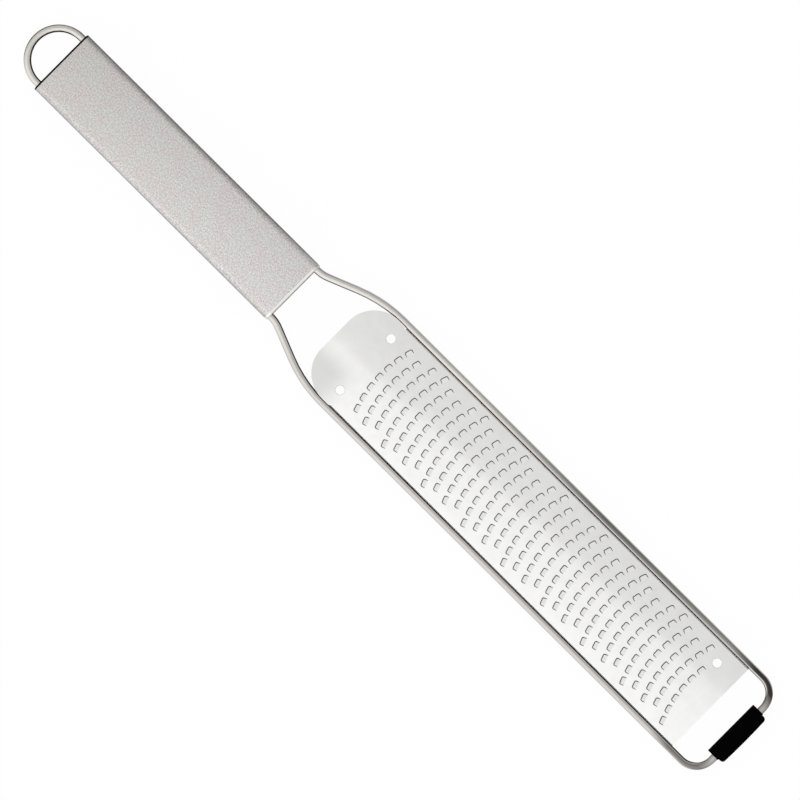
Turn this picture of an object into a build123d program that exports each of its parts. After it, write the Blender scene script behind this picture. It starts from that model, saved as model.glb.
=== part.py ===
from build123d import *
import math
import os

# A hand-held rasp zester: a toothed steel sheet welded inside a bent rod frame,
# whose two legs run back into a flat steel handle with a hanging loop behind it.
# +X points from the hanging loop to the tip, +Y is to the left when looking at the
# tip with the teeth up, and +Z is up. The origin is on the table, under the middle
# of the whole length, where the handle and the foot rest.

# One overrun carries every cut past the faces that it opens.
cut_overrun = 1.0

# Handle tube: a flat oval of thin sheet
handle_length = 106.1
handle_width = 24.6
handle_thickness = 9.0
handle_edge_radius = 2.5
handle_wall = 0.35
handle_fit_clearance = 0.1

# Front and rear caps of the handle
front_cap_lip = 1.0
front_cap_lip_edge_radius = 0.3
rear_cap_lip = 0.6
rear_cap_lip_edge_radius = 0.2
cap_spigot_depth = 5.0

# Round rod of the frame and the hanging loop
rod_diameter = 2.5
rod_fit_clearance = 0.05

# Hanging loop. Its legs sit a little further in than the frame's legs.
loop_stand_off = 1.2
loop_leg_length = 19.0
loop_leg_inset = 0.4

# Rod frame around the blade. Its legs stop short of the loop's legs in the handle.
frame_rod_spacing = 37.6
leg_end_gap = 9.0
neck_straight = 0.2
neck_run = 20.2
neck_handle_bend_radius = 11.5
neck_frame_bend_radius = 46.0
tip_bend_radius = 7.0

# Toothed sheet with folded sides. The bare tongue at the handle end rests on the inner
# flanks of the rods, which sets the height of the sheet.
neck_gap = 19.2
blade_length = 171.6
blade_thickness = 0.4
blade_side_gap = 0.05
tongue_length = 15.0
tongue_corner_radius = 11.5
tongue_side_overlap = 0.3
tongue_rest_gap = 0.05
flange_depth = 3.0
flange_bend_radius = 0.45
relief_notch_length = 0.4
relief_notch_depth = 0.7
tooling_hole_diameter = 3.05
tooling_hole_from_side = 5.8
front_hole_from_tongue = 13.8
tip_hole_from_end = 8.6

# Teeth: curved rows, four kinds of row in turn
first_row_from_tongue = 18.8
last_row_from_end = 11.5
row_pitch = 4.545
row_curve_radius = 42.0
row_centre_from_middle = 1.3
tooth_pitch = 4.25
tooth_width = 2.8
tooth_length = 1.75
tooth_rise = 0.55
tooth_edge_thickness = 0.12
tooth_corner_radius = 0.6
tooth_slot_gap = 0.12
tooth_clear_of_hole = 4.0
tooth_from_left_side = 2.2
tooth_from_right_side = 2.5

# Each kind of row is moved sideways by a share of the tooth pitch.
row_shift_shares = (-0.25, -0.5, 0, 0.25)

# Spot welds between the folded sides and the rods
weld_diameter = 1.2
weld_pitch = 26.0
weld_end_margin = 6.0

# Rubber foot on the tip
tip_gap = 9.75
foot_end_gap = 1.35
foot_inner_cover = 2.6
foot_outer_cover = 3.25
foot_top_cover = 2.6
foot_step = 0.4
foot_step_from_rod = 1.25
foot_outer_corner_radius = 1.2
foot_bow = 0.2
foot_edge_radius = 0.3

# Worked out: levels
rod_radius = rod_diameter / 2
rod_z = handle_thickness / 2
foot_top_z = rod_z + foot_top_cover

# Worked out: places across the tool
inner_half_width = handle_width / 2 - handle_wall
inner_height = handle_thickness - handle_wall - handle_wall
inner_edge_radius = handle_edge_radius - handle_wall
frame_leg_y = inner_half_width - rod_fit_clearance - rod_radius
loop_leg_y = frame_leg_y - loop_leg_inset
side_y = frame_rod_spacing / 2
flange_face_y = side_y - rod_radius - blade_side_gap
tongue_half_width = flange_face_y + tongue_side_overlap
tooling_hole_side = flange_face_y - tooling_hole_from_side
foot_half = side_y - tip_bend_radius - foot_end_gap

# Worked out: level of the sheet, from the rod's height under the sides of the tongue
rest_height = math.sqrt(rod_radius**2 - (side_y - tongue_half_width) ** 2)
blade_under_z = rod_z + rest_height + tongue_rest_gap
blade_top_z = blade_under_z + blade_thickness

# Worked out: places along the tool, with the origin under the middle
loop_projection = loop_stand_off + loop_leg_y + rod_radius
foot_depth = foot_inner_cover + foot_outer_cover
overall_length = loop_projection + handle_length + neck_gap + blade_length + tip_gap + foot_depth
rear_x = -overall_length / 2
cap_face_x = rear_x + loop_projection
tube_rear_x = cap_face_x + rear_cap_lip
handle_front_x = cap_face_x + handle_length
tube_front_x = handle_front_x - front_cap_lip
core_rear_x = tube_rear_x + cap_spigot_depth
core_front_x = tube_front_x - cap_spigot_depth
loop_leg_x = cap_face_x + loop_leg_length
frame_leg_x = loop_leg_x + leg_end_gap
blade_start_x = handle_front_x + neck_gap
flange_start_x = blade_start_x + tongue_length
blade_end_x = blade_start_x + blade_length
tip_rod_x = blade_end_x + tip_gap + foot_inner_cover

os.makedirs("parts", exist_ok=True)


# Handle tube: the flat oval wall
with BuildPart() as handle_tube:
    with BuildSketch(Plane.YZ.offset(tube_rear_x)):
        with Locations((0, rod_z)):
            RectangleRounded(handle_width, handle_thickness, handle_edge_radius)
            RectangleRounded(
                inner_half_width + inner_half_width,
                inner_height,
                inner_edge_radius,
                mode=Mode.SUBTRACT,
            )
    extrude(amount=tube_front_x - tube_rear_x)
handle_tube.part.label = "handle_tube"
export_step(handle_tube.part, "parts/handle_tube.step")


# Outline of what fits inside the tube, with an open groove for a rod on each side
core_half_width = inner_half_width - handle_fit_clearance
core_height = inner_height - handle_fit_clearance - handle_fit_clearance
core_edge_radius = inner_edge_radius - handle_fit_clearance
rod_hole_radius = rod_radius + rod_fit_clearance


def grooved_outline(leg_y):
    groove_reach = core_half_width - leg_y + cut_overrun
    with BuildSketch() as outline:
        with Locations((0, rod_z)):
            RectangleRounded(core_half_width + core_half_width, core_height, core_edge_radius)
        with Locations((-leg_y, rod_z), (leg_y, rod_z)):
            Circle(rod_hole_radius, mode=Mode.SUBTRACT)
        with Locations((leg_y + groove_reach / 2, rod_z), (-leg_y - groove_reach / 2, rod_z)):
            Rectangle(groove_reach, rod_hole_radius + rod_hole_radius, mode=Mode.SUBTRACT)
    return outline.sketch


rear_outline = grooved_outline(loop_leg_y)
front_outline = grooved_outline(frame_leg_y)


# Handle core: the moulded filler that holds the rods. Its grooves change place halfway
# between the ends of the loop's legs and the frame's legs.
core_step_x = loop_leg_x + leg_end_gap / 2

with BuildPart() as handle_core:
    with BuildSketch(Plane.YZ.offset(core_rear_x)):
        add(rear_outline)
    extrude(amount=core_step_x - core_rear_x)
    with BuildSketch(Plane.YZ.offset(core_step_x)):
        add(front_outline)
    extrude(amount=core_front_x - core_step_x)
handle_core.part.label = "handle_core"
export_step(handle_core.part, "parts/handle_core.step")


# Front cap: a steel plate over the tube's mouth, with a spigot inside it
with BuildPart() as front_end_cap:
    with BuildSketch(Plane.YZ.offset(tube_front_x)):
        with Locations((0, rod_z)):
            RectangleRounded(handle_width, handle_thickness, handle_edge_radius)
    extrude(amount=front_cap_lip)
    fillet(front_end_cap.faces().sort_by(Axis.X)[-1].edges(), front_cap_lip_edge_radius)
    with BuildSketch(Plane.YZ.offset(tube_front_x)):
        with Locations((-frame_leg_y, rod_z), (frame_leg_y, rod_z)):
            Circle(rod_hole_radius)
    extrude(amount=front_cap_lip + cut_overrun, mode=Mode.SUBTRACT)
    with BuildSketch(Plane.YZ.offset(core_front_x)):
        add(front_outline)
    extrude(amount=cap_spigot_depth)
front_end_cap.part.label = "front_end_cap"
export_step(front_end_cap.part, "parts/front_end_cap.step")


# Rear cap: a black moulded plate behind the tube, with a spigot inside it
with BuildPart() as rear_end_cap:
    with BuildSketch(Plane.YZ.offset(tube_rear_x)):
        with Locations((0, rod_z)):
            RectangleRounded(handle_width, handle_thickness, handle_edge_radius)
    extrude(amount=-rear_cap_lip)
    fillet(rear_end_cap.faces().sort_by(Axis.X)[0].edges(), rear_cap_lip_edge_radius)
    with BuildSketch(Plane.YZ.offset(tube_rear_x)):
        with Locations((-loop_leg_y, rod_z), (loop_leg_y, rod_z)):
            Circle(rod_hole_radius)
    extrude(amount=-rear_cap_lip - cut_overrun, mode=Mode.SUBTRACT)
    with BuildSketch(Plane.YZ.offset(tube_rear_x)):
        add(rear_outline)
    extrude(amount=cap_spigot_depth)
rear_end_cap.part.label = "rear_end_cap"
export_step(rear_end_cap.part, "parts/rear_end_cap.step")


# Hanging loop: a half ring whose two legs go into the rear of the handle
loop_centre_x = cap_face_x - loop_stand_off
crown_x = loop_centre_x - loop_leg_y

with BuildPart() as hanging_loop:
    with BuildLine(Plane.XY.offset(rod_z)):
        Line((loop_leg_x, loop_leg_y), (loop_centre_x, loop_leg_y))
        ThreePointArc((loop_centre_x, loop_leg_y), (crown_x, 0), (loop_centre_x, -loop_leg_y))
        Line((loop_centre_x, -loop_leg_y), (loop_leg_x, -loop_leg_y))
    with BuildSketch(Plane.YZ.offset(loop_leg_x)):
        with Locations((loop_leg_y, rod_z)):
            Circle(rod_radius)
    sweep()
hanging_loop.part.label = "hanging_loop"
export_step(hanging_loop.part, "parts/hanging_loop.step")


# Frame rod: out of the handle, round the neck, along the blade and across the tip
neck_angle = math.atan2(side_y - frame_leg_y, neck_run)
neck_start_x = handle_front_x + neck_straight
neck_start_x += neck_handle_bend_radius * math.tan(neck_angle / 2)
neck_end_x = neck_start_x + neck_run
left_half = [
    (frame_leg_x, frame_leg_y),
    (neck_start_x, frame_leg_y),
    (neck_end_x, side_y),
    (tip_rod_x, side_y),
]
right_half = [(x, -y) for x, y in reversed(left_half)]
bend_radii = [neck_handle_bend_radius, neck_frame_bend_radius, tip_bend_radius]

with BuildPart() as frame_rod:
    with BuildLine(Plane.XY.offset(rod_z)):
        FilletPolyline(*left_half, *right_half, radius=bend_radii + bend_radii[::-1])
    with BuildSketch(Plane.YZ.offset(frame_leg_x)):
        with Locations((frame_leg_y, rod_z)):
            Circle(rod_radius)
    sweep()
frame_rod.part.label = "frame_rod"
export_step(frame_rod.part, "parts/frame_rod.step")


# Places of the teeth: rows curved about a centre on the tip side of each row
def tooth_places():
    tip_hole = (blade_end_x - tip_hole_from_end, tooling_hole_side)
    toothed_length = blade_length - first_row_from_tongue - last_row_from_end
    row_count = int(toothed_length / row_pitch) + 1
    places = []
    left_limit = flange_face_y - tooth_from_left_side
    right_limit = tooth_from_right_side - flange_face_y
    reach = int(flange_face_y / tooth_pitch) + 1
    for row in range(row_count):
        shift_share = row_shift_shares[row % len(row_shift_shares)]
        row_x = blade_start_x + first_row_from_tongue + row * row_pitch
        for tooth in range(-reach, reach + 1):
            angle = (tooth + shift_share) * tooth_pitch / row_curve_radius
            x = row_x + row_curve_radius * (1 - math.cos(angle))
            y = row_centre_from_middle + row_curve_radius * math.sin(angle)
            in_field = right_limit < y < left_limit
            from_hole = math.hypot(x - tip_hole[0], y - tip_hole[1])
            if in_field and from_hole > tooth_clear_of_hole:
                places.append((x, y, -math.degrees(angle)))
    return places


teeth = tooth_places()
print("teeth", len(teeth))


# One window of the sheet, open behind the cutting edge
with BuildSketch() as tooth_window:
    with Locations(((tooth_length - tooth_slot_gap) / 2, 0)):
        Rectangle(tooth_length + tooth_slot_gap, tooth_width + tooth_slot_gap + tooth_slot_gap)
    fillet(
        tooth_window.vertices().group_by(Axis.X)[0],
        tooth_corner_radius + tooth_slot_gap,
    )


# One raised tongue: it climbs from the sheet to a thin edge that faces the handle
tongue_reach = tooth_length + tooth_slot_gap

with BuildPart() as tooth_tongue:
    with BuildSketch(Plane.XY.offset(-blade_thickness)) as tongue_outline:
        with Locations((tongue_reach / 2, 0)):
            Rectangle(tongue_reach, tooth_width)
        fillet(tongue_outline.vertices().group_by(Axis.X)[0], tooth_corner_radius)
    extrude(amount=blade_thickness + tooth_rise)
    with BuildSketch(Plane.XZ):
        with BuildLine():
            Polyline(
                (tongue_reach, 0),
                (tooth_length, 0),
                (0, tooth_rise),
                (0, tooth_rise - tooth_edge_thickness),
                (tooth_length, -blade_thickness),
                (tongue_reach, -blade_thickness),
                close=True,
            )
        make_face()
    extrude(amount=tooth_width, both=True, mode=Mode.INTERSECT)


# Rasp blade: the folded sheet, its windows and raised teeth, and its three holes
with BuildPart() as rasp_blade:
    with BuildSketch(Plane.YZ.offset(flange_start_x)):
        with BuildLine():
            folded_line = FilletPolyline(
                (-flange_face_y, blade_top_z - flange_depth),
                (-flange_face_y, blade_top_z),
                (flange_face_y, blade_top_z),
                (flange_face_y, blade_top_z - flange_depth),
                radius=flange_bend_radius,
            )
            offset(folded_line, blade_thickness, side=Side.RIGHT, closed=True)
        make_face()
    extrude(amount=blade_end_x - flange_start_x)
    with BuildSketch(Plane.XY.offset(blade_under_z)):
        with BuildLine():
            FilletPolyline(
                (flange_start_x, tongue_half_width),
                (blade_start_x, tongue_half_width),
                (blade_start_x, -tongue_half_width),
                (flange_start_x, -tongue_half_width),
                radius=tongue_corner_radius,
            )
            Line((flange_start_x, -tongue_half_width), (flange_start_x, tongue_half_width))
        make_face()
    extrude(amount=blade_thickness)
    with BuildSketch(Plane.XY.offset(blade_under_z)):
        with Locations(*[Location((x, y, 0), (0, 0, turn)) for x, y, turn in teeth]):
            add(tooth_window.sketch)
        with Locations(
            (blade_start_x + front_hole_from_tongue, tooling_hole_side),
            (blade_start_x + front_hole_from_tongue, -tooling_hole_side),
            (blade_end_x - tip_hole_from_end, tooling_hole_side),
        ):
            Circle(tooling_hole_diameter / 2)
    extrude(amount=blade_thickness + cut_overrun, mode=Mode.SUBTRACT)
    with BuildSketch(Plane.XY.offset(blade_under_z)):
        with Locations(
            (flange_start_x - relief_notch_length / 2, tongue_half_width),
            (flange_start_x - relief_notch_length / 2, -tongue_half_width),
        ):
            Rectangle(relief_notch_length, relief_notch_depth + relief_notch_depth)
    extrude(amount=blade_thickness + cut_overrun, mode=Mode.SUBTRACT)
    with Locations(*[Location((x, y, blade_top_z), (0, 0, turn)) for x, y, turn in teeth]):
        add(tooth_tongue.part)
rasp_blade.part.label = "rasp_blade"
export_step(rasp_blade.part, "parts/rasp_blade.step", write_pcurves=False)


# Spot welds: small nuggets that bridge the gap from the folded sides to the rods
flange_length = blade_end_x - flange_start_x
weld_run = flange_length - weld_end_margin - weld_end_margin
weld_gaps = max(1, int(weld_run / weld_pitch))
weld_places = [
    (flange_start_x + weld_end_margin + weld_run * step / weld_gaps, side, rod_z)
    for step in range(weld_gaps + 1)
    for side in (flange_face_y, -flange_face_y)
]

with BuildPart() as spot_welds:
    for x, side, z in weld_places:
        with BuildSketch(Plane(origin=(x, side, z), z_dir=(0, side, 0))):
            Circle(weld_diameter / 2)
        extrude(amount=blade_side_gap + rod_radius)
    add(frame_rod.part, mode=Mode.SUBTRACT)
spot_welds.part.label = "spot_welds"
export_step(spot_welds.part, "parts/spot_welds.step")


# Tip foot: a rubber sleeve round the rod, as deep as the handle's underside
foot_inner_x = tip_rod_x - foot_inner_cover
foot_step_x = tip_rod_x + foot_step_from_rod
foot_outer_x = tip_rod_x + foot_outer_cover - foot_bow
outer_half = foot_half - foot_step

with BuildPart() as tip_foot:
    with BuildSketch():
        with BuildLine():
            Polyline(
                (foot_outer_x, outer_half),
                (foot_step_x, outer_half),
                (foot_step_x, foot_half),
                (foot_inner_x, foot_half),
                (foot_inner_x, -foot_half),
                (foot_step_x, -foot_half),
                (foot_step_x, -outer_half),
                (foot_outer_x, -outer_half),
            )
            ThreePointArc(
                (foot_outer_x, -outer_half),
                (foot_outer_x + foot_bow, 0),
                (foot_outer_x, outer_half),
            )
        make_face()
    extrude(amount=foot_top_z)
    outer_corners = tip_foot.edges().filter_by(Axis.Z).group_by(Axis.X)[-1]
    fillet(outer_corners, foot_outer_corner_radius)
    fillet(tip_foot.faces().sort_by(Axis.Z)[-1].edges(), foot_edge_radius)
    with BuildSketch(Plane.XZ):
        with Locations((tip_rod_x, rod_z)):
            Circle(rod_hole_radius)
    extrude(amount=foot_half + cut_overrun, both=True, mode=Mode.SUBTRACT)
tip_foot.part.label = "tip_foot"
export_step(tip_foot.part, "parts/tip_foot.step")
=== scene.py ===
# %% [markdown]
# A rasp zester lies on a white table, seen from straight above. This script dresses the
# measured model of it: the wire, the handle tube and the toothed sheet are modelled again
# with finer shapes, and every piece gets the finish of its real material. The measured
# model is loaded first, so that each new piece can be placed from its boxes.

import math

import bmesh
import bpy
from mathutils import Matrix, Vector


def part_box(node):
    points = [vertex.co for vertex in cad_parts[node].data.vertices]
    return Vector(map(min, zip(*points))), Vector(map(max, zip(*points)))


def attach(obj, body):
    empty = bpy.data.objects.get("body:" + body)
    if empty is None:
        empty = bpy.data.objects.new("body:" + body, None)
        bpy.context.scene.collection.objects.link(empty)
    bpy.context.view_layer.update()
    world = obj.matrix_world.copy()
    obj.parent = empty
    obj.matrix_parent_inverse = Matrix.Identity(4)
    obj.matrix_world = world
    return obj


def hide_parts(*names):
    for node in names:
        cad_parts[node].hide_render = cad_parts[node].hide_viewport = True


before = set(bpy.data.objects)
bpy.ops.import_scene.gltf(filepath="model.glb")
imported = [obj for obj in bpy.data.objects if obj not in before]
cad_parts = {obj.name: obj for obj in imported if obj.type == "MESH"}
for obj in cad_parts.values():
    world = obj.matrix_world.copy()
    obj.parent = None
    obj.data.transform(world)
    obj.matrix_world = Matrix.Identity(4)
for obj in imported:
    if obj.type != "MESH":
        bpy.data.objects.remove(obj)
bpy.context.view_layer.update()

# %% [markdown]
# All lengths in Blender are metres here, and the tool's own sizes are easier to read in
# millimetres. One named value turns the second into the first. The places that several
# pieces share come from the boxes of the measured pieces: the rod's height and radius,
# the lines of the legs in the handle, and the line of the frame's sides along the blade.

# %% Shared places
mm = 0.001
tiny = 0.01 * mm

rod_low, rod_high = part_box("frame_rod")
rod_radius = (rod_high.z - rod_low.z) / 2
rod_z = (rod_high.z + rod_low.z) / 2
side_y = rod_high.y - rod_radius
loop_low, loop_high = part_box("hanging_loop")
loop_leg_inset = 0.4 * mm
loop_leg_y = loop_high.y - rod_radius
frame_leg_y = loop_leg_y + loop_leg_inset
tube_low, tube_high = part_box("handle_tube")
blade_low, blade_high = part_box("rasp_blade")
print("rod radius", round(rod_radius / mm, 3), "side line", round(side_y / mm, 2))

# %% [markdown]
# Loaded pieces stay selected, and an operator acts on all that is selected. So each new
# piece starts by clearing the selection. The second helper is used in edit mode: it
# selects only the corners, edges or faces whose middle passes a test, which is what the
# eye and the mouse would do by hand. The last one puts a finished piece's place into its
# mesh, so that the object sits unturned at the origin.

# %% Helpers for modelling
def clear_selection():
    bpy.ops.object.select_all(action="DESELECT")


def pick(kind, wanted):
    """In edit mode, selects the VERT, EDGE or FACE items whose middle passes the test."""
    bpy.ops.mesh.select_mode(type=kind)
    bpy.ops.mesh.select_all(action="DESELECT")
    mesh = bmesh.from_edit_mesh(bpy.context.object.data)
    items = {"VERT": mesh.verts, "EDGE": mesh.edges, "FACE": mesh.faces}[kind]
    for item in items:
        corners = [item] if kind == "VERT" else item.verts
        middle = sum((corner.co for corner in corners), Vector()) / len(corners)
        item.select_set(wanted(middle, item))
    mesh.select_flush_mode()
    bmesh.update_edit_mesh(bpy.context.object.data)


def edit(piece):
    """Makes the piece the only selected one and opens it for editing."""
    clear_selection()
    piece.select_set(True)
    bpy.context.view_layer.objects.active = piece
    bpy.ops.object.mode_set(mode="EDIT")


def settle(piece, smooth_angle):
    """Leaves edit mode, puts the piece's place in its mesh and smooths its soft edges."""
    if bpy.context.object.mode == "EDIT":
        bpy.ops.object.mode_set(mode="OBJECT")
    clear_selection()
    piece.select_set(True)
    bpy.context.view_layer.objects.active = piece
    bpy.ops.object.transform_apply(location=True, rotation=True, scale=True)
    bpy.ops.object.shade_smooth_by_angle(angle=math.radians(smooth_angle))
    print(piece.name, "faces", len(piece.data.polygons))


# %% [markdown]
# Every finish below is a Principled shader with a few texture nodes in front of it.
# Three small helpers keep that short. The first turns an sRGB hex colour, as a paint
# program shows it, into the linear numbers that shaders read. The second adds one node,
# sets its values and links it to nodes that are already there. The third starts a
# material and hands back its object coordinates.

# %% Helpers for finishes
def linear(hex_colour):
    """An sRGB hex colour such as #c0c0c0 as linear red, green, blue and alpha."""
    shares = [int(hex_colour[start : start + 2], 16) / 255 for start in (1, 3, 5)]
    return [s / 12.92 if s <= 0.04045 else ((s + 0.055) / 1.055) ** 2.4 for s in shares] + [1]


def add_node(tree, kind, links=None, values=None, **options):
    """Adds a node with its options and values, and links its inputs to earlier outputs."""
    node = tree.nodes.new("ShaderNode" + kind)
    for option, value in options.items():
        setattr(node, option, value)
    for socket, value in (values or {}).items():
        node.inputs[socket].default_value = value
    for socket, source in (links or {}).items():
        tree.links.new(source, node.inputs[socket])
    return node


def new_finish(name, **settings):
    """A material whose shader has these constant settings, and its object coordinates."""
    material = bpy.data.materials.new(name)
    material.use_nodes = True
    shader = material.node_tree.nodes["Principled BSDF"]
    for socket, value in settings.items():
        shader.inputs[socket.replace("_", " ")].default_value = value
    place = add_node(material.node_tree, "TexCoord").outputs["Object"]
    return material, material.node_tree, shader, place


# %% [markdown]
# Thin metal is never quite flat: the sides of a sheet or a tube fall away a little from
# the middle, and the reflection slides across it as a soft change from dark to light. A
# Bump node can lean the shading that way without moving the surface. Its height is a
# parabola across the piece, so the lean grows evenly from the middle line to the sides.
# The sheet also has a low ridge along its middle, where the tone turns over quickly. How
# far each surface leans was found by trying values until the tones suited the photo.

# %% Helper for a slightly bowed surface
ridge_width = 1.8 * mm
ridge_slant = 0.04


def bowed_normal(tree, place, half_width, lean_degrees, ridge_degrees=0):
    """A bump whose shading leans outwards by this many degrees at the half width.

    A ridge adds a second lean, which turns over within a few millimetres of its line.
    """
    across = add_node(tree, "SeparateXYZ", {0: place}).outputs["Y"]
    square = add_node(tree, "Math", {0: across, 1: across}, operation="MULTIPLY")
    fall = -math.tan(math.radians(lean_degrees)) / (half_width * 2)
    height = add_node(tree, "Math", {0: square.outputs[0]}, {1: fall}, operation="MULTIPLY")
    if ridge_degrees:
        ridge_line = (-ridge_slant, 1, 0)
        aside = add_node(tree, "VectorMath", {0: place}, {1: ridge_line}, operation="DOT_PRODUCT")
        aside = aside.outputs["Value"]
        far = add_node(tree, "Math", {0: aside, 1: aside}, operation="MULTIPLY")
        far = add_node(tree, "Math", {0: far.outputs[0]}, {1: ridge_width**2}, operation="ADD")
        far = add_node(tree, "Math", {0: far.outputs[0]}, operation="SQRT")
        height = add_node(
            tree,
            "Math",
            {0: far.outputs[0], 2: height.outputs[0]},
            {1: -math.tan(math.radians(ridge_degrees))},
            operation="MULTIPLY_ADD",
        )
    bump = add_node(tree, "Bump", {"Height": height.outputs[0]}, {"Strength": 1, "Distance": 1})
    return bump.outputs["Normal"]


# %% [markdown]
# The toothed sheet is cold-rolled stainless steel. Rolling leaves very fine lines along
# the sheet and soft, cloudy patches where the reflection changes a little. The lines are
# noise squeezed in one direction by a Mapping node, and the clouds are large noise that
# moves the colour and roughness by a few percent. The real lines are about 0.02 mm apart,
# too fine to show, so they are drawn ten times as coarse. Two tones are painted on top,
# because they show in the photo and the plain room made here does not give them: a
# painted shadow as a dark line on the upper half of each fold, where the sheet meets the
# rod, and a painted shade as a soft grey on the right of the tongue. They may only be
# reflections. They stand in for light and shade, so they suit the view from above and no
# other.

# %% Rolled stainless sheet
roll_line_gap = 0.2 * mm
roll_line_length = 6 * mm
cloud_size = 3.5 * mm
ripple_size = 11 * mm
ripple_height = 0.05 * mm
sheet_lean = 5
sheet_ridge = 3.2
sheet_half_width = 17.5 * mm
shade_full_x = blade_low.x + 7.5 * mm
shade_ends_x = blade_low.x + 18.0 * mm
shade_starts_y = -2 * mm
shade_full_y = -10 * mm
fold_side_share = -0.1
fold_dark_from = 0.7
fold_dark_to = 0.88

sheet_steel, tree, shader, place = new_finish("rolled_stainless_sheet", Metallic=1)
squeezed = add_node(
    tree,
    "Mapping",
    {"Vector": place},
    {"Scale": (roll_line_gap / roll_line_length, 1, 1)},
)
lines = add_node(
    tree,
    "TexNoise",
    {"Vector": squeezed.outputs[0]},
    {"Scale": 1 / roll_line_gap, "Detail": 2},
)
clouds = add_node(
    tree, "TexNoise", {"Vector": place}, {"Scale": 1 / cloud_size, "Detail": 3}
)
tint = add_node(tree, "Mix", {"Factor": clouds.outputs["Fac"]}, data_type="RGBA")
tint.inputs[6].default_value = linear("#e0dfdd")
tint.inputs[7].default_value = linear("#ebebe9")
spot = add_node(tree, "SeparateXYZ", {0: place})
# Painted shade: a soft grey over the right half of the tongue.
shade_along = add_node(
    tree,
    "MapRange",
    {"Value": spot.outputs["X"]},
    {"From Min": shade_ends_x, "From Max": shade_full_x},
    interpolation_type="SMOOTHSTEP",
)
shade_across = add_node(
    tree,
    "MapRange",
    {"Value": spot.outputs["Y"]},
    {"From Min": shade_starts_y, "From Max": shade_full_y},
    interpolation_type="SMOOTHSTEP",
)
shade = add_node(
    tree, "Math", {0: shade_along.outputs[0], 1: shade_across.outputs[0]}, operation="MULTIPLY"
)
tint = add_node(tree, "Mix", {"Factor": shade.outputs[0], 6: tint.outputs[2]}, data_type="RGBA")
tint.inputs[7].default_value = linear("#cdcdcb")
# Painted shadow: a dark line on the upper half of each fold, where the sheet meets the rod.
facing = add_node(tree, "SeparateXYZ", {0: add_node(tree, "NewGeometry").outputs["Normal"]})
sideways = add_node(tree, "Math", {0: facing.outputs["Y"]}, operation="ABSOLUTE")
sideways = add_node(
    tree,
    "Math",
    {0: facing.outputs["Y"], 2: sideways.outputs[0]},
    {1: fold_side_share},
    operation="MULTIPLY_ADD",
)
folded = add_node(
    tree,
    "MapRange",
    {"Value": sideways.outputs[0]},
    {"From Min": fold_dark_from, "From Max": fold_dark_to},
)
above = add_node(tree, "Math", {0: spot.outputs["Z"]}, {1: rod_z}, operation="GREATER_THAN")
fold_shadow_line = add_node(
    tree, "Math", {0: folded.outputs[0], 1: above.outputs[0]}, operation="MULTIPLY"
)
tint = add_node(tree, "Mix", {"Factor": fold_shadow_line.outputs[0], 6: tint.outputs[2]}, data_type="RGBA")
tint.inputs[7].default_value = linear("#3c3a37")
tree.links.new(tint.outputs[2], shader.inputs["Base Color"])
rough = add_node(
    tree,
    "MapRange",
    {"Value": lines.outputs["Fac"]},
    {"To Min": 0.34, "To Max": 0.46},
)
tree.links.new(rough.outputs[0], shader.inputs["Roughness"])
ripples = add_node(
    tree, "TexNoise", {"Vector": place}, {"Scale": 1 / ripple_size, "Detail": 1}
)
waved = add_node(
    tree,
    "Bump",
    {
        "Height": ripples.outputs["Fac"],
        "Normal": bowed_normal(tree, place, sheet_half_width, sheet_lean, sheet_ridge),
    },
    {"Strength": 1, "Distance": ripple_height},
)
grain = add_node(
    tree,
    "Bump",
    {"Height": lines.outputs["Fac"], "Normal": waved.outputs[0]},
    {"Strength": 0.12, "Distance": 0.02 * mm},
)
tree.links.new(grain.outputs[0], shader.inputs["Normal"])
print("finish", sheet_steel.name)

# %% [markdown]
# The teeth are sharpened by etching, which eats a dull, darker slope into the steel along
# each edge. A rougher, greyer metal with a fine pitted bump gives that, and its colour is
# darker still, a painted shade for the slot beneath each tooth's raised edge. It goes only
# on the slope and the lip of each tooth, so it has its own material.

# %% Etched tooth edge
etch_pit = 0.12 * mm

etched_and_slot_shaded_steel, tree, shader, place = new_finish("etched_stainless_edge_and_slot_shade", Metallic=1)
pits = add_node(tree, "TexNoise", {"Vector": place}, {"Scale": 1 / etch_pit, "Detail": 2})
# Part etched steel, part painted shade: the dark grey also stands in for the shade of the slot under
# the edge.
tint = add_node(tree, "Mix", {"Factor": pits.outputs["Fac"]}, data_type="RGBA")
tint.inputs[6].default_value = linear("#515150")
tint.inputs[7].default_value = linear("#6e6e6c")
tree.links.new(tint.outputs[2], shader.inputs["Base Color"])
shader.inputs["Roughness"].default_value = 0.5
bump = add_node(
    tree, "Bump", {"Height": pits.outputs["Fac"]}, {"Strength": 0.3, "Distance": 0.02 * mm}
)
tree.links.new(bump.outputs[0], shader.inputs["Normal"])
print("finish", etched_and_slot_shaded_steel.name)

# %% [markdown]
# The rod is drawn stainless wire that was tumbled smooth after bending, so it is shinier
# than the sheet, with faint scuffs in every direction rather than lines. Its reflections
# stay sharp enough to draw a dark and a light band along it. The photo also has a darker
# top on the rods towards the tip, and a dark line on their inner flank. Both are painted
# into the colour, a painted reflection of a darker room on the tops and a painted shade
# along the inner flanks, by a colour ramp with a few stops for each side of the frame.
# Whether that is the steel or the room in its reflections can't be told, so both are painted,
# by a colour ramp with a few stops for each side of the frame.
# The stops were chosen by comparing pictures, and they suit the view from above and no other.

# %% Drawn and tumbled rod
scuff_size = 0.6 * mm
tip_bend = 7.0 * mm
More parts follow.
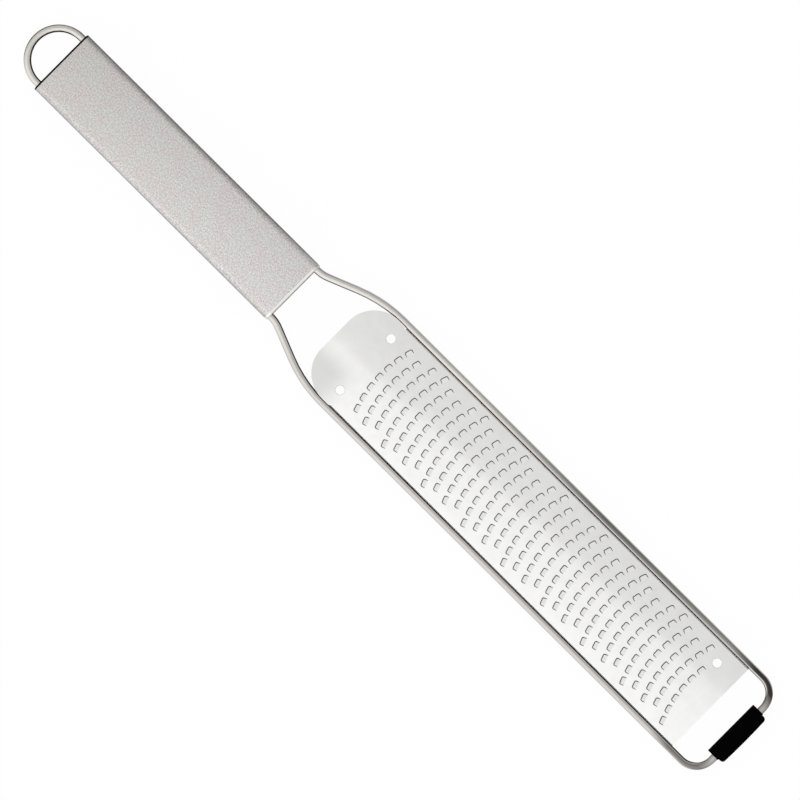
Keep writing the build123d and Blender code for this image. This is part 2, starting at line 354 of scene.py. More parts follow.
# Painted reflection and painted shade: shares by place along the rods, in mm, for the darker tops
# and the dark inner flank line.
painted_dark_left_shares = [(20, 0.1), (80, 0.8), (138, 0.6), (149, 1)]
painted_dark_right_shares = [(20, 0.18), (138, 0.24), (146, 0.75)]
groove_shade_left_shares = [(-10, 0), (-9.6, 1), (146.5, 1), (147, 0)]
groove_shade_right_shares = [(-44, 0.9), (24, 1), (66, 0.1), (115, 1)]
groove_starts = -0.76
groove_full = -0.86
groove_side_share = 0.15
tip_share = 0.4
inner_from = -0.62
inner_to = -0.32
outer_from = 0.9
outer_to = 0.5

rod_steel, tree, shader, place = new_finish("drawn_stainless_rod", Metallic=1)
scuffs = add_node(
    tree, "TexNoise", {"Vector": place}, {"Scale": 1 / scuff_size, "Detail": 4}
)
tint = add_node(tree, "Mix", {"Factor": scuffs.outputs["Fac"]}, data_type="RGBA")
tint.inputs[6].default_value = linear("#c6c3bf")
tint.inputs[7].default_value = linear("#dbd8d4")
spot = add_node(tree, "SeparateXYZ", {0: place})
facing = add_node(tree, "SeparateXYZ", {0: add_node(tree, "NewGeometry").outputs["Normal"]})
on_left = add_node(
    tree, "MapRange", {"Value": spot.outputs["Y"]}, {"From Min": -mm, "From Max": mm}
)


def share_along(levels):
    """A share that changes along X, from a list of places in mm and shares."""
    first, last = levels[0][0], levels[-1][0]
    stretch = add_node(
        tree,
        "MapRange",
        {"Value": spot.outputs["X"]},
        {"From Min": first * mm, "From Max": last * mm},
    )
    ramp = add_node(tree, "ValToRGB", {0: stretch.outputs[0]})
    stops = ramp.color_ramp.elements
    for stop, (x, share) in ((stops[0], levels[0]), (stops[1], levels[-1])):
        stop.color = (share, share, share, 1)
    for x, share in levels[1:-1]:
        stops.new((x - first) / (last - first)).color = (share, share, share, 1)
    return ramp.outputs[0]


def by_side(left, right):
    """One share along the rod on the left side and another on the right side."""
    sides = {"Factor": on_left.outputs[0], 2: share_along(right), 3: share_along(left)}
    return add_node(tree, "Mix", sides)


# Painted reflection: the rods' tops darken towards the tip, as if they mirrored a darker room.
dark = by_side(painted_dark_left_shares, painted_dark_right_shares)
by_corner = add_node(
    tree,
    "MapRange",
    {"Value": add_node(tree, "Math", {0: spot.outputs["Y"]}, operation="ABSOLUTE").outputs[0]},
    {
        "From Min": side_y - tip_bend,
        "From Max": side_y - tip_bend / 3,
        "To Min": tip_share,
    },
)
side_sign = add_node(tree, "Math", {0: spot.outputs["Y"]}, operation="SIGN")
outward = add_node(
    tree, "Math", {0: facing.outputs["Y"], 1: side_sign.outputs[0]}, operation="MULTIPLY"
)
inner_edge = add_node(
    tree,
    "MapRange",
    {"Value": outward.outputs[0]},
    {"From Min": inner_from, "From Max": inner_to},
)
outer_edge = add_node(
    tree,
    "MapRange",
    {"Value": outward.outputs[0]},
    {"From Min": outer_from, "From Max": outer_to},
)
upper = add_node(tree, "Math", {0: facing.outputs["Z"]}, {1: 0}, operation="GREATER_THAN")
for mask in (by_corner, inner_edge, outer_edge, upper):
    dark = add_node(tree, "Math", {0: dark.outputs[0], 1: mask.outputs[0]}, operation="MULTIPLY")
tint = add_node(tree, "Mix", {"Factor": dark.outputs[0], 6: tint.outputs[2]}, data_type="RGBA")
tint.inputs[7].default_value = linear("#393634")
inward = add_node(
    tree,
    "Math",
    {0: side_sign.outputs[0], 2: outward.outputs[0]},
    {1: groove_side_share},
    operation="MULTIPLY_ADD",
)
inward = add_node(
    tree,
    "MapRange",
    {"Value": inward.outputs[0]},
    {"From Min": groove_starts, "From Max": groove_full},
)
# Painted shade: a near-black line along each rod's inner flank.
inner_flank_shade = by_side(groove_shade_left_shares, groove_shade_right_shares)
flank_shade_line = add_node(
    tree, "Math", {0: inward.outputs[0], 1: inner_flank_shade.outputs[0]}, operation="MULTIPLY"
)
tint = add_node(tree, "Mix", {"Factor": flank_shade_line.outputs[0], 6: tint.outputs[2]}, data_type="RGBA")
tint.inputs[7].default_value = linear("#1e1d1b")
tree.links.new(tint.outputs[2], shader.inputs["Base Color"])
rough = add_node(
    tree, "MapRange", {"Value": scuffs.outputs["Fac"]}, {"To Min": 0.14, "To Max": 0.26}
)
tree.links.new(rough.outputs[0], shader.inputs["Roughness"])
bump = add_node(
    tree, "Bump", {"Height": scuffs.outputs["Fac"]}, {"Strength": 0.08, "Distance": 0.01 * mm}
)
tree.links.new(bump.outputs[0], shader.inputs["Normal"])
print("finish", rod_steel.name)

# %% [markdown]
# The handle tube is bead-blasted: glass beads hammer the steel into a dull, even skin of
# tiny dents with a slightly warm grey. Blasting grit leaves dents of about 0.1 mm, drawn
# here at 0.5 mm so that they show as the fine grain in a picture of the whole tool. Large
# soft noise moves the grey between a cool and a warm cast. A darker tone is mixed in as
# painted shade where the surface turns down towards the table, and a little of it towards
# the rear, as the photo has it. The tone goes by the surface's slope alone, so the unseen
# underside gets the painted shade too.

# %% Bead-blasted handle steel
bead_dent = 0.5 * mm
blast_cloud = 4 * mm
handle_half_width = 12 * mm
handle_lean = 5.5
rear_share = 0.16
flank_from = 0.75
flank_to = 0.1

blasted_steel, tree, shader, place = new_finish("bead_blasted_stainless", Metallic=1)
dents = add_node(
    tree, "TexNoise", {"Vector": place}, {"Scale": 1 / bead_dent, "Detail": 2, "Roughness": 0.7}
)
clouds = add_node(
    tree, "TexNoise", {"Vector": place}, {"Scale": 1 / blast_cloud, "Detail": 2}
)
speckle = add_node(
    tree,
    "MapRange",
    {"Value": dents.outputs["Fac"]},
    {"From Min": 0.35, "From Max": 0.65},
)
patch = add_node(
    tree, "MapRange", {"Value": clouds.outputs["Fac"]}, {"From Min": 0.38, "From Max": 0.62}
)
cast = add_node(tree, "Mix", {"Factor": patch.outputs[0]}, data_type="RGBA")
cast.inputs[6].default_value = linear("#babbb8")
cast.inputs[7].default_value = linear("#bfb5b6")
tint = add_node(tree, "Mix", {"Factor": speckle.outputs[0], 6: cast.outputs[2]}, data_type="RGBA")
tint.inputs[7].default_value = linear("#e6e5e3")
facing = add_node(tree, "NewGeometry").outputs["Normal"]
# Painted shade: the sides that turn down, and the underside, take the darker tone.
flank_shade = add_node(
    tree,
    "MapRange",
    {"Value": add_node(tree, "SeparateXYZ", {0: facing}).outputs["Z"]},
    {"From Min": flank_from, "From Max": flank_to},
    interpolation_type="SMOOTHSTEP",
)
rear = add_node(
    tree,
    "MapRange",
    {"Value": add_node(tree, "SeparateXYZ", {0: place}).outputs["X"]},
    {"From Min": tube_low.x, "From Max": tube_high.x, "To Min": rear_share, "To Max": 0},
)
darker = add_node(tree, "Math", {0: flank_shade.outputs[0], 1: rear.outputs[0]}, operation="MAXIMUM")
tint = add_node(tree, "Mix", {"Factor": darker.outputs[0], 6: tint.outputs[2]}, data_type="RGBA")
tint.inputs[7].default_value = linear("#9c9592")
tree.links.new(tint.outputs[2], shader.inputs["Base Color"])
rough = add_node(
    tree, "MapRange", {"Value": clouds.outputs["Fac"]}, {"To Min": 0.5, "To Max": 0.62}
)
tree.links.new(rough.outputs[0], shader.inputs["Roughness"])
bump = add_node(
    tree,
    "Bump",
    {
        "Height": dents.outputs["Fac"],
        "Normal": bowed_normal(tree, place, handle_half_width, handle_lean),
    },
    {"Strength": 0.35, "Distance": 0.03 * mm},
)
tree.links.new(bump.outputs[0], shader.inputs["Normal"])
print("finish", blasted_steel.name)

# %% [markdown]
# The front cap is polished stainless, the weld nuggets are bare fused metal, and the
# filler in the handle, the rear cap and the foot are moulded. Each needs only a base
# colour, a roughness and one noise for its skin, so one function makes them all from
# their facts. The cap's front edge shows as a thin grey line in the photo, but a mirror
# there would reflect the dark table. So faces that turn forward lose most of their
# metallic look, which paints a pale grey line in place of the mirror's dark reflection.
# The two blacks have almost no gloss, since the photo shows them flat.

# %% Cap, weld, nylon and rubber finishes
gloss_swing = 0.06
front_from = 0.15
front_to = 0.6
front_unmirror_from = 0.4
front_unmirror_to = 0.7
front_metal_share = 0.05
black_gloss = 0.01


def plain_finish(name, dark, light, grain, metallic, roughness, bump_depth):
    """A finish with one fine grain that moves its colour, its gloss and its surface."""
    material, tree, shader, place = new_finish(name, Metallic=metallic)
    skin = add_node(tree, "TexNoise", {"Vector": place}, {"Scale": 1 / grain, "Detail": 3})
    tint = add_node(tree, "Mix", {"Factor": skin.outputs["Fac"]}, data_type="RGBA")
    tint.inputs[6].default_value = linear(dark)
    tint.inputs[7].default_value = linear(light)
    tree.links.new(tint.outputs[2], shader.inputs["Base Color"])
    gloss = add_node(
        tree,
        "MapRange",
        {"Value": skin.outputs["Fac"]},
        {"To Min": roughness - gloss_swing, "To Max": roughness + gloss_swing},
    )
    tree.links.new(gloss.outputs[0], shader.inputs["Roughness"])
    bump = add_node(
        tree, "Bump", {"Height": skin.outputs["Fac"]}, {"Strength": 0.3, "Distance": bump_depth}
    )
    tree.links.new(bump.outputs[0], shader.inputs["Normal"])
    print("finish", name)
    return material


polished_steel = plain_finish(
    "polished_stainless_cap", "#d9d8d6", "#e8e7e5", 0.8 * mm, 1, 0.2, 0.005 * mm
)
tree = polished_steel.node_tree
shader = tree.nodes["Principled BSDF"]
facing = add_node(tree, "SeparateXYZ", {0: add_node(tree, "NewGeometry").outputs["Normal"]})
# Painted reflection: faces that turn forward show a set pale grey instead of a mirror.
front = add_node(
    tree, "MapRange", {"Value": facing.outputs["X"]}, {"From Min": front_from, "From Max": front_to}
)
skin = shader.inputs["Base Color"].links[0].from_socket
front_grey = add_node(tree, "Mix", {"Factor": front.outputs[0], 6: skin}, data_type="RGBA")
front_grey.inputs[7].default_value = linear("#d2d0ce")
tree.links.new(front_grey.outputs[2], shader.inputs["Base Color"])
front_unmirrored = add_node(
    tree,
    "MapRange",
    {"Value": facing.outputs["X"]},
    {"From Min": front_unmirror_from, "From Max": front_unmirror_to, "To Min": 1, "To Max": front_metal_share},
)
tree.links.new(front_unmirrored.outputs[0], shader.inputs["Metallic"])
weld_metal = plain_finish("fused_weld_metal", "#8a8782", "#a5a29c", 0.3 * mm, 1, 0.45, 0.03 * mm)
filler_nylon = plain_finish("moulded_nylon_core", "#55565a", "#606166", 0.5 * mm, 0, 0.5, 0.02 * mm)
black_nylon = plain_finish("black_moulded_nylon", "#020202", "#060606", 0.5 * mm, 0, 0.5, 0.01 * mm)
black_rubber = plain_finish("matt_black_rubber", "#010101", "#040404", 0.35 * mm, 0, 0.7, 0.01 * mm)
for soft_black in (black_nylon, black_rubber):
    shader = soft_black.node_tree.nodes["Principled BSDF"]
    shader.inputs["Specular IOR Level"].default_value = black_gloss


def give_finishes(piece, *finishes):
    """Gives a piece its finishes, in the order of its material slots."""
    piece.data.materials.clear()
    for finish in finishes:
        piece.data.materials.append(finish)


for node_name, finish in (
    ("front_end_cap", polished_steel),
    ("rear_end_cap", black_nylon),
    ("handle_core", filler_nylon),
    ("spot_welds", weld_metal),
    ("tip_foot", black_rubber),
):
    give_finishes(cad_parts[node_name], finish)

# %% [markdown]
# A wire bender makes the frame from one straight rod: feed some length, bend, feed again.
# The same recipe works here. A circle is the rod's end, extrude feeds it forward, and
# spin carries it round a bend. Spin turns clockwise for a positive angle, so the angle of
# a left-hand bend goes in with a minus. A curve with a round bevel would be quicker, but
# this leaves a clean closed mesh with rings only where the rod bends.

# %% The wire bender
rod_sides = 40
bend_step = math.radians(4)


def bent_rod(name, start, heading, runs):
    """A rod from the start place that feeds and bends. Each run is length, radius, turn."""
    clear_selection()
    bpy.ops.mesh.primitive_circle_add(
        vertices=rod_sides,
        radius=rod_radius,
        fill_type="NGON",
        location=start,
        rotation=(0, math.radians(90), heading),
    )
    rod = bpy.context.object
    rod.name = name
    bpy.ops.object.transform_apply(location=True, rotation=True, scale=True)
    bpy.ops.object.mode_set(mode="EDIT")
    bpy.ops.mesh.select_all(action="SELECT")
    place = Vector(start)
    for length, radius, turn in runs:
        forward = Vector((math.cos(heading), math.sin(heading), 0))
        bpy.ops.mesh.extrude_region_move(TRANSFORM_OT_translate={"value": forward * length})
        place += forward * length
        if turn:
            left = Vector((-math.sin(heading), math.cos(heading), 0))
            centre = place + left * math.copysign(radius, turn)
            steps = max(4, round(abs(turn) / bend_step))
            bpy.ops.mesh.spin(steps=steps, angle=-turn, center=centre, axis=(0, 0, 1))
            heading += turn
            out = Vector((math.sin(heading), -math.cos(heading), 0))
            place = centre + out * math.copysign(radius, turn)
    bpy.ops.mesh.select_all(action="SELECT")
    bpy.ops.mesh.normals_make_consistent(inside=False)
    settle(rod, 40)
    print(name, "ends at", [round(v / mm, 2) for v in place])
    return rod


# %% [markdown]
# The frame rod leaves the handle, bends out round the neck, runs along the blade and
# turns across the tip. The neck is two arcs with a short straight between them. Its angle
# comes from how far the rod moves out over the neck's run, and the straight lengths are
# what is left between the arcs. The second half mirrors the first, so the list of runs
# is the same list read backwards.

# %% The frame rod
neck_straight = 0.2 * mm
neck_run = 20.2 * mm
neck_handle_bend = 11.5 * mm
neck_frame_bend = 46.0 * mm
front_cap_low, front_cap_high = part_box("front_end_cap")
handle_front_x = front_cap_high.x
tip_rod_x = rod_high.x - rod_radius

neck_angle = math.atan2(side_y - frame_leg_y, neck_run)
handle_tangent = neck_handle_bend * math.tan(neck_angle / 2)
frame_tangent = neck_frame_bend * math.tan(neck_angle / 2)
leg_length = handle_front_x + neck_straight - rod_low.x
neck_slope = math.hypot(side_y - frame_leg_y, neck_run)
neck_middle = neck_slope - handle_tangent - frame_tangent
neck_end_x = handle_front_x + neck_straight + handle_tangent + neck_run
side_length = tip_rod_x - tip_bend - neck_end_x - frame_tangent
tip_length = side_y * 2 - tip_bend * 2
quarter = math.radians(90)

frame_wire = bent_rod(
    "frame_wire",
    (rod_low.x, frame_leg_y, rod_z),
    0,
    [
        (leg_length, neck_handle_bend, neck_angle),
        (neck_middle, neck_frame_bend, -neck_angle),
        (side_length, tip_bend, -quarter),
        (tip_length, tip_bend, -quarter),
        (side_length, neck_frame_bend, -neck_angle),
        (neck_middle, neck_handle_bend, neck_angle),
        (leg_length, 0, 0),
    ],
)
give_finishes(frame_wire, rod_steel)
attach(frame_wire, "root")
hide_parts("frame_rod")

# %% [markdown]
# The hanging loop is a shorter piece of the same rod with one half turn in the middle.
# Its two legs go into the rear of the handle, a little closer together than the frame's.

# %% The hanging loop
loop_centre_x = loop_low.x + rod_radius + loop_leg_y
loop_leg = loop_high.x - loop_centre_x

loop_wire = bent_rod(
    "loop_wire",
    (loop_high.x, loop_leg_y, rod_z),
    quarter * 2,
    [(loop_leg, loop_leg_y, quarter * 2), (loop_leg, 0, 0)],
)
give_finishes(loop_wire, rod_steel)
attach(loop_wire, "root")
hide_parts("hanging_loop")

# %% [markdown]
# The handle is a flat oval tube. A box at the tube's size has its four long edges
# bevelled to the tube's round sides, its two ends deleted, and a wall made by Solidify,
# which grows inwards so that the outside keeps its size. A last small bevel breaks the
# sharp rims, as the polishing wheel does.

# %% The handle tube
tube_edge_radius = 2.5 * mm
tube_wall = 0.35 * mm
rim_break = 0.08 * mm
side_segments = 12


def apply_modifier(piece, kind, **settings):
    """Adds one modifier with its settings and applies it."""
    clear_selection()
    piece.select_set(True)
    bpy.context.view_layer.objects.active = piece
    modifier = piece.modifiers.new(kind.title(), kind)
    for setting, value in settings.items():
        setattr(modifier, setting, value)
    bpy.ops.object.modifier_apply(modifier=modifier.name)


clear_selection()
bpy.ops.mesh.primitive_cube_add(
    size=1,
    location=(tube_low + tube_high) / 2,
    scale=tube_high - tube_low,
)
handle_sleeve = bpy.context.object
handle_sleeve.name = "handle_sleeve"
bpy.ops.object.transform_apply(location=True, rotation=True, scale=True)
edit(handle_sleeve)
pick("EDGE", lambda middle, edge: abs(edge.verts[0].co.x - edge.verts[1].co.x) > mm)
bpy.ops.mesh.bevel(offset=tube_edge_radius, segments=side_segments, affect="EDGES")
pick("FACE", lambda middle, face: abs(face.normal.x) > 0.9)
bpy.ops.mesh.delete(type="FACE")
bpy.ops.object.mode_set(mode="OBJECT")
apply_modifier(handle_sleeve, "SOLIDIFY", thickness=tube_wall, offset=-1)
apply_modifier(
    handle_sleeve, "BEVEL", width=rim_break, segments=2, angle_limit=math.radians(60)
)
settle(handle_sleeve, 40)
give_finishes(handle_sleeve, blasted_steel)
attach(handle_sleeve, "root")
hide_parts("handle_tube")

# %% [markdown]
# The blade starts as thin sheet. A flat plane is the toothed part, its two long edges are
# spun round the fold and extruded down to make the sides, and its front edge is extruded
# into the tongue, whose corners are rounded by a bevel on two corners only. Folding a
# surface first and giving it thickness afterwards keeps the wall even round the folds.
# The sides of the tongue rest on the inner flanks of the rods, and a circle's height at
# that distance from its middle gives the level of the whole sheet.

# %% The folded sheet
sheet_thickness = 0.4 * mm
fold_radius = 0.45 * mm
fold_steps = 12
flange_depth = 3.0 * mm
tongue_length = 15.0 * mm
tongue_side_overlap = 0.3 * mm
tongue_corner_radius = 11.5 * mm
notch_length = 0.4 * mm
notch_depth = 0.7 * mm
tongue_rest_gap = 0.05 * mm

tongue_half = blade_high.y
rest_height = math.sqrt(rod_radius**2 - (side_y - tongue_half) ** 2)
sheet_top_z = rod_z + rest_height + tongue_rest_gap + sheet_thickness
flange_face_y = tongue_half - tongue_side_overlap
flange_start_x = blade_low.x + tongue_length
flat_half = flange_face_y - fold_radius

clear_selection()
bpy.ops.mesh.primitive_plane_add(
    size=1, location=((flange_start_x + blade_high.x) / 2, 0, sheet_top_z)
)
blade_sheet = bpy.context.object
blade_sheet.name = "blade_sheet"
blade_sheet.scale = (blade_high.x - flange_start_x, flat_half * 2, 1)
bpy.ops.object.transform_apply(location=True, rotation=True, scale=True)
edit(blade_sheet)
for side in (1, -1):
    pick("EDGE", lambda middle, edge: abs(middle.y - side * flat_half) < tiny)
    bpy.ops.mesh.spin(
        steps=fold_steps,
        angle=quarter * side,
        center=(0, side * flat_half, sheet_top_z - fold_radius),
        axis=(1, 0, 0),
    )
    drop = (0, 0, fold_radius - flange_depth)
    bpy.ops.mesh.extrude_region_move(TRANSFORM_OT_translate={"value": drop})

pick(
    "EDGE",
    lambda middle, edge: abs(middle.x - flange_start_x) < tiny and abs(middle.y) < tiny,
)
half_notch = notch_length / 2
bpy.ops.mesh.extrude_region_move(TRANSFORM_OT_translate={"value": (-half_notch, 0, 0)})
bpy.ops.transform.resize(
    value=(1, tongue_half / flat_half, 1), center_override=(0, 0, sheet_top_z)
)
forward = (half_notch - tongue_length, 0, 0)
bpy.ops.mesh.extrude_region_move(TRANSFORM_OT_translate={"value": forward})
pick("VERT", lambda middle, corner: middle.x < blade_low.x + tiny)
bpy.ops.mesh.bevel(offset=tongue_corner_radius, segments=16, affect="VERTICES")
bpy.ops.mesh.select_all(action="SELECT")
bpy.ops.mesh.remove_doubles(threshold=tiny / 10)
bpy.ops.mesh.normals_make_consistent(inside=False)
bpy.ops.object.mode_set(mode="OBJECT")
top_up = max(blade_sheet.data.polygons, key=lambda face: face.area).normal.z > 0
print("sheet surface faces up", top_up)
apply_modifier(
    blade_sheet,
    "SOLIDIFY",
    thickness=sheet_thickness,
    offset=-1 if top_up else 1,
    use_even_offset=True,
)

# %% [markdown]
# The teeth stand in curved rows. Each row is part of a circle whose centre lies towards
# the tip, and four kinds of row follow each other, moved sideways by shares of the tooth
# pitch, so that no two rows cut the same line. A tooth turns with its place on the
# circle. One function works the places out, and both the windows and the teeth use them.

# %% Places of the teeth
first_row = 18.8 * mm
last_row = 11.5 * mm
row_pitch = 4.545 * mm
row_radius = 42.0 * mm
row_centre_y = 1.3 * mm
tooth_pitch = 4.25 * mm
clear_of_hole = 4.0 * mm
left_margin = 2.2 * mm
right_margin = 2.5 * mm
row_shift_shares = (-0.25, -0.5, 0, 0.25)
hole_side = flange_face_y - 5.8 * mm
tip_hole = Vector((blade_high.x - 8.6 * mm, hole_side, 0))
front_hole_x = blade_low.x + 13.8 * mm


def tooth_places():
    """The place of every tooth: its x, its y and its turn."""
    toothed = blade_high.x - blade_low.x - first_row - last_row
    reach = int(flange_face_y / tooth_pitch) + 1
    places = []
    for row in range(int(toothed / row_pitch) + 1):
        share = row_shift_shares[row % len(row_shift_shares)]
        row_x = blade_low.x + first_row + row * row_pitch
        for step in range(-reach, reach + 1):
            angle = (step + share) * tooth_pitch / row_radius
            x = row_x + row_radius * (1 - math.cos(angle))
            y = row_centre_y + row_radius * math.sin(angle)
            in_field = right_margin - flange_face_y < y < flange_face_y - left_margin
            if in_field and (Vector((x, y, 0)) - tip_hole).length > clear_of_hole:
                places.append((x, y, -angle))
    return places


teeth = tooth_places()
print("teeth", len(teeth))

# %% [markdown]
# Each tooth needs a window in the sheet, and the sheet has three round tooling holes and
# a small relief notch beside each fold. All the punches are made as plain solids, joined
# into one tool, and cut away in a single Boolean, which is far quicker than one cut per
# hole. The window follows the tooth's outline: a rectangle whose two front corners are
# rounded by a corner bevel. The round punch flares at its top, so that it also cuts a
# narrow rim round each hole.

# %% Punching the sheet
tooth_width = 2.8 * mm
tooth_length = 1.75 * mm
tooth_corner = 0.6 * mm
tooth_corner_steps = 3
window_gap = 0.03 * mm
punch_over = 0.3 * mm
hole_radius = 3.05 / 2 * mm
rim_width = 0.12 * mm
hole_sides = 48
punch_depth = 2 * mm


def tooth_outline(name, gap, level):
    """A flat tooth outline at the origin: root on +X, rounded corners on -X."""
    clear_selection()
    bpy.ops.mesh.primitive_plane_add(size=1, location=((tooth_length - gap) / 2, 0, level))
    outline = bpy.context.object
    outline.name = name
    outline.scale = (tooth_length + gap, tooth_width + gap * 2, 1)
    bpy.ops.object.transform_apply(location=True, rotation=True, scale=True)
    edit(outline)
    pick("VERT", lambda middle, corner: middle.x < tooth_length / 2)
    bpy.ops.mesh.bevel(
        offset=tooth_corner + gap, segments=tooth_corner_steps, affect="VERTICES"
    )
    bpy.ops.mesh.select_all(action="SELECT")
    return outline


def copies_at(original, places, level):
    """One copy of a piece at each place, each with its own mesh. The original goes."""
    made = []
    for x, y, turn in places:
        copy = original.copy()
        copy.data = original.data.copy()
        bpy.context.scene.collection.objects.link(copy)
        copy.location = (x, y, level)
        copy.rotation_euler = (0, 0, turn)
        made.append(copy)
    bpy.data.objects.remove(original)
    return made


def join_into(target, others):
    """Joins the other pieces into the target, which keeps its name."""
    clear_selection()
    for other in others:
        other.select_set(True)
    target.select_set(True)
    bpy.context.view_layer.objects.active = target
    bpy.ops.object.join()


window = tooth_outline("window", window_gap, -sheet_thickness - punch_over)
punch_height = sheet_thickness + punch_over * 2
bpy.ops.mesh.extrude_region_move(TRANSFORM_OT_translate={"value": (0, 0, punch_height)})
bpy.ops.mesh.select_all(action="SELECT")
bpy.ops.mesh.normals_make_consistent(inside=False)
bpy.ops.object.mode_set(mode="OBJECT")
punches = copies_at(window, teeth, sheet_top_z)

clear_selection()
bpy.ops.mesh.primitive_cylinder_add(
    vertices=hole_sides,
    radius=hole_radius,
    depth=punch_depth,
    location=(0, 0, -punch_depth / 2 - rim_width),
)
hole_punch = bpy.context.object
bpy.ops.object.transform_apply(location=True, rotation=True, scale=True)
edit(hole_punch)
pick("FACE", lambda middle, face: face.normal.z > 0.9)
bpy.ops.mesh.extrude_region_move(TRANSFORM_OT_translate={"value": (0, 0, rim_width * 2)})
flare = 1 + rim_width * 2 / hole_radius
bpy.ops.transform.resize(value=(flare, flare, 1), center_override=(0, 0, 0))
bpy.ops.object.mode_set(mode="OBJECT")
hole_places = [
    (front_hole_x, hole_side, 0),
    (front_hole_x, -hole_side, 0),
    (tip_hole.x, tip_hole.y, 0),
]
punches += copies_at(hole_punch, hole_places, sheet_top_z)

notch_x = flange_start_x - half_notch
for side in (1, -1):
    clear_selection()
    bpy.ops.mesh.primitive_cube_add(
        size=1,
        location=(notch_x, side * tongue_half, sheet_top_z),
        scale=(notch_length, notch_depth * 2, punch_depth * 2),
    )
    punches.append(bpy.context.object)

punch_tool = punches.pop(0)
join_into(punch_tool, punches)
apply_modifier(
    blade_sheet, "BOOLEAN", operation="DIFFERENCE", solver="EXACT", object=punch_tool
)
bpy.data.objects.remove(punch_tool)
print("punched sheet faces", len(blade_sheet.data.polygons))

# %% [markdown]
# A tooth is a little tongue of the sheet, pushed up at its front. Its edge is etched to a
# slope on the front and both sides, and that slope, with its painted slot shade, is what shows from
# above as a dark C.
# The outline is extruded to a thin lip, its top is inset and raised to make the slope, and
# the inset's two root corners slide back and down to the root, so that the slope of each
# leg runs out into the sheet. The root's lower corners go down to the underside of the
# sheet, and the tongue turns up about its root.

# %% One tooth
lip_height = 0.05 * mm
slope_width = 0.3 * mm
slope_rise = 0.24 * mm
leg_slope_at_root = 0.16 * mm
root_land = 0.1 * mm
edge_lift = 0.2 * mm

tooth = tooth_outline("tooth", 0, 0)
bpy.ops.mesh.extrude_region_move(TRANSFORM_OT_translate={"value": (0, 0, lip_height)})
bpy.ops.mesh.inset(thickness=slope_width, depth=slope_rise)
pick(
    "VERT",
    lambda middle, corner: middle.x > tooth_length - slope_width - tiny
    and middle.z > lip_height + tiny,
)
bpy.ops.transform.translate(value=(slope_width - root_land, 0, -slope_rise))
spread = (tooth_width / 2 - leg_slope_at_root) / (tooth_width / 2 - slope_width)
bpy.ops.transform.resize(value=(1, spread, 1), center_override=(tooth_length, 0, 0))
pick(
    "VERT",
    lambda middle, corner: middle.x > tooth_length - root_land - tiny
    and middle.z > lip_height - tiny,
)
bpy.ops.transform.translate(value=(0, 0, -lip_height + tiny / 2))
pick("VERT", lambda middle, corner: middle.x > tooth_length - tiny and middle.z < tiny / 4)
bpy.ops.transform.translate(value=(0, 0, -sheet_thickness))
bpy.ops.mesh.select_all(action="SELECT")
bpy.ops.transform.rotate(
    value=-math.asin(edge_lift / tooth_length),
    orient_axis="Y",
    center_override=(tooth_length, 0, 0),
)
pick("FACE", lambda middle, face: middle.x < tooth_length * 0.9 and -0.5 < face.normal.z < 0.93)
slope_faces = [face.index for face in bmesh.from_edit_mesh(tooth.data).faces if face.select]
bpy.ops.object.mode_set(mode="OBJECT")
give_finishes(tooth, sheet_steel, etched_and_slot_shaded_steel)
for index in slope_faces:
    tooth.data.polygons[index].material_index = 1
print("one tooth has", len(tooth.data.polygons), "faces,", len(slope_faces), "of them etched")
tooth_top = max(corner.co.z for corner in tooth.data.vertices)
print("tooth rises", round(tooth_top / mm, 2), "mm above the sheet")

# %% [markdown]
# The tooth is copied to every place, and the copies are joined into the sheet, because on
# the real blade they are one piece of steel.

# %% All the teeth
give_finishes(blade_sheet, sheet_steel, etched_and_slot_shaded_steel)
join_into(blade_sheet, copies_at(tooth, teeth, sheet_top_z))
settle(blade_sheet, 30)
edit(blade_sheet)
pick("FACE", lambda middle, face: abs(face.normal.z) > 0.93)
bpy.ops.mesh.faces_shade_flat()
bpy.ops.object.mode_set(mode="OBJECT")
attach(blade_sheet, "root")
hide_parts("rasp_blade")

# %% [markdown]
# The tool lies on a plain pale table. To the camera it is almost wholly a white glow, with
# a small share of an ordinary pale surface that still takes a faint shadow. In the metal's
# reflections the table glows at other levels, a painted shade by place: light outside the
# frame, a painted shadow on the left of the handle, and dark between the rods. The photo's
# rods show such bands, though what they reflect isn't known. The Light Path node tells the two kinds
# of ray apart.

# %% Table
table_size = 6
table_gap = 0.02 * mm
white_share = 0.97
right_level = 0.95
blade_left_level = 0.85
handle_left_shadow_level = 0.25
inner_shadow_level = 0.08
inner_half = 9 * mm
side_blend = 5 * mm

clear_selection()
bpy.ops.mesh.primitive_plane_add(size=table_size, location=(0, 0, -table_gap))
table = bpy.context.object
table.name = "table"
table_paint, tree, shader, place = new_finish("pale_table", Roughness=0.9)
shader.inputs["Base Color"].default_value = linear("#f8f8f8")
shader.inputs["Specular IOR Level"].default_value = 0
path = add_node(tree, "LightPath")
share = add_node(
    tree, "Math", {0: path.outputs["Is Camera Ray"]}, {1: white_share}, operation="MULTIPLY"
)
share = add_node(
    tree, "Math", {0: share.outputs[0], 1: path.outputs["Is Glossy Ray"]}, operation="MAXIMUM"
)
spot = add_node(tree, "SeparateXYZ", {0: place})
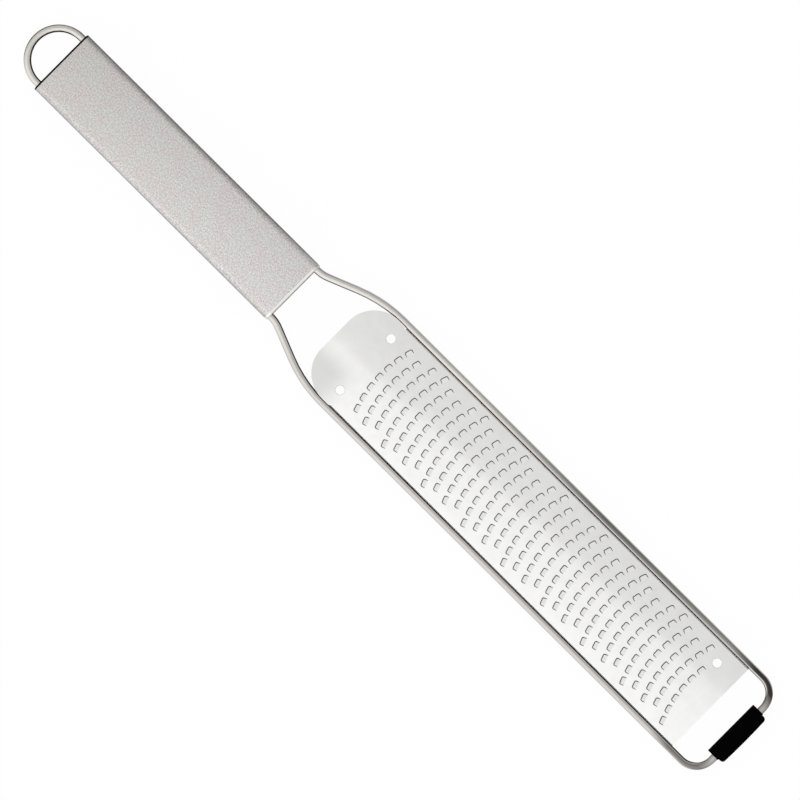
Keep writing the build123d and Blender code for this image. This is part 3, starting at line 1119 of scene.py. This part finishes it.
# Painted shade in reflections: the glow is dimmer left of the handle and darkest between the rods.
left_level = add_node(
    tree,
    "MapRange",
    {"Value": spot.outputs["X"]},
    {
        "From Min": handle_front_x - side_blend,
        "From Max": handle_front_x + side_blend,
        "To Min": handle_left_shadow_level,
        "To Max": blade_left_level,
    },
)
left = add_node(
    tree,
    "MapRange",
    {"Value": spot.outputs["Y"], "To Max": left_level.outputs[0]},
    {"From Min": inner_half, "From Max": inner_half + side_blend, "To Min": inner_shadow_level},
)
right = add_node(
    tree,
    "MapRange",
    {"Value": spot.outputs["Y"]},
    {
        "From Min": -inner_half,
        "From Max": -inner_half - side_blend,
        "To Min": inner_shadow_level,
        "To Max": right_level,
    },
)
side = add_node(tree, "Math", {0: left.outputs[0], 1: right.outputs[0]}, operation="MAXIMUM")
level = add_node(
    tree, "Math", {0: side.outputs[0], 1: path.outputs["Is Camera Ray"]}, operation="MAXIMUM"
)
glow = add_node(tree, "Emission", {"Strength": level.outputs[0]})
blend = add_node(
    tree,
    "MixShader",
    {0: share.outputs[0], 1: shader.outputs[0], 2: glow.outputs[0]},
)
output = tree.nodes["Material Output"]
tree.links.new(blend.outputs[0], output.inputs["Surface"])
give_finishes(table, table_paint)

# %% [markdown]
# The light is a pale room. It is bright overhead and on the side that the tool's left
# edge faces away from, and darker on the other side, so that the rods and the round
# edges of the handle show one light and one dark flank. One lean direction and a Map
# Range node describe that. A second Map Range takes light away low down on the left, as
# a dark wall there would. The camera itself sees plain white.

# %% Room light
bright_side = Vector((0.05, -0.8, 0.6)).normalized()
bright_from = 0.25
bright_to = 0.95
dim_level = 0.82
bright_level = 1.34
wall_from = 0.75
wall_drop = -0.45

world = bpy.data.worlds.new("room")
bpy.context.scene.world = world
world.use_nodes = True
tree = world.node_tree
direction = add_node(tree, "TexCoord").outputs["Generated"]
lean = add_node(
    tree, "VectorMath", {0: direction}, {1: bright_side}, operation="DOT_PRODUCT"
)
level = add_node(
    tree,
    "MapRange",
    {"Value": lean.outputs["Value"]},
    {
        "From Min": bright_from,
        "From Max": bright_to,
        "To Min": dim_level,
        "To Max": bright_level,
    },
    interpolation_type="SMOOTHSTEP",
)
dark_wall = add_node(
    tree,
    "MapRange",
    {"Value": add_node(tree, "SeparateXYZ", {0: direction}).outputs["Y"]},
    {"From Min": wall_from, "From Max": 1, "To Min": 0, "To Max": wall_drop},
    interpolation_type="SMOOTHSTEP",
)
level = add_node(tree, "Math", {0: level.outputs[0], 1: dark_wall.outputs[0]}, operation="ADD")
path = add_node(tree, "LightPath")
room = tree.nodes["Background"]
tree.links.new(level.outputs[0], room.inputs["Strength"])
room.inputs["Color"].default_value = (1, 1, 1, 1)
white = add_node(tree, "Background", values={"Strength": 1})
white.inputs["Color"].default_value = (1, 1, 1, 1)
mix = add_node(
    tree,
    "MixShader",
    {0: path.outputs["Is Camera Ray"], 1: room.outputs[0], 2: white.outputs[0]},
)
tree.links.new(mix.outputs[0], tree.nodes["World Output"].inputs["Surface"])

# %% [markdown]
# The camera hangs over the middle of the picture and looks straight down. A long lens
# from far away keeps the tool almost free of perspective. The camera is turned so that
# the tool lies along the picture's falling diagonal.

# %% Camera
picture_width = 259.5 * mm
lens = 200
sensor = 36
camera_x = 5.25 * mm
camera_y = -0.28 * mm
camera_turn = 44.83

camera_data = bpy.data.cameras.new("camera")
camera_data.lens = lens
camera_data.sensor_width = sensor
camera = bpy.data.objects.new("camera", camera_data)
bpy.context.scene.collection.objects.link(camera)
camera.location = (camera_x, camera_y, picture_width * lens / sensor + sheet_top_z)
camera.rotation_euler = (0, 0, math.radians(camera_turn))
bpy.context.scene.camera = camera
bpy.context.scene.view_settings.view_transform = "Standard"
